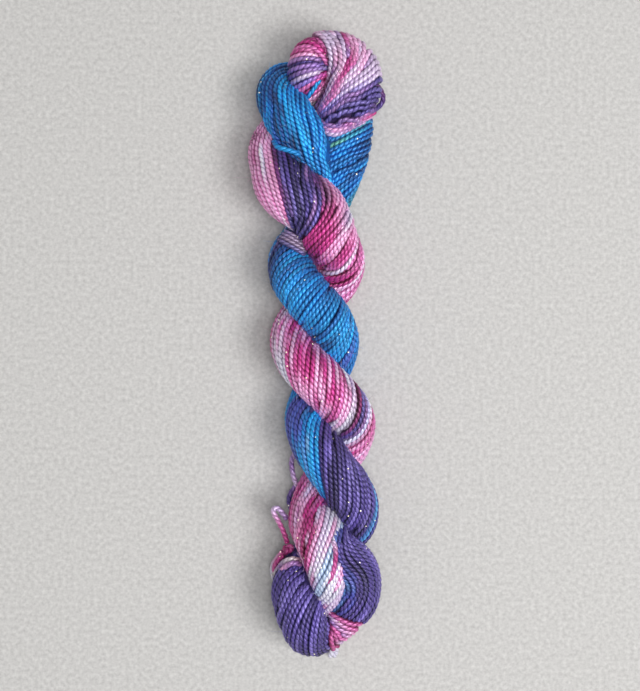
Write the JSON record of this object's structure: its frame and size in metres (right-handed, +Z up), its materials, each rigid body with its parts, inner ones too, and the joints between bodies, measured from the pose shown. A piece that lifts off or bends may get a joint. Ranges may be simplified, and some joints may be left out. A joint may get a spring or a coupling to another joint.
{
  "type": "hank of yarn",
  "caption": "Hank of hand-dyed plied yarn in blue, purple, magenta and white, twisted and doubled into a thick rope, with one end loop drawn up through the other and a short knotted tie.",
  "frame": {"origin": "centre of the outline's box, on the surface that the hank rests on", "axes": "+Y along the hank towards the knob, +Z up from the resting surface"},
  "size_m": [0.0497, 0.2346, 0.0318],
  "materials": {
    "hank_yarn": "soft plied yarn, hand-dyed in blue, purple, magenta and white, with fine sparkle",
    "tie_yarn_pale": "soft plied yarn, pale lilac and white",
    "tie_yarn_pink": "soft plied yarn, magenta and pink"
  },
  "bodies": {
    "root": {"hank": "hank_yarn", "tie_knot": "tie_yarn_pink", "tie_loop": "tie_yarn_pale", "tie_tail_white": "tie_yarn_pale", "tie_tail_pink": "tie_yarn_pink"}
  },
  "joints": []
}
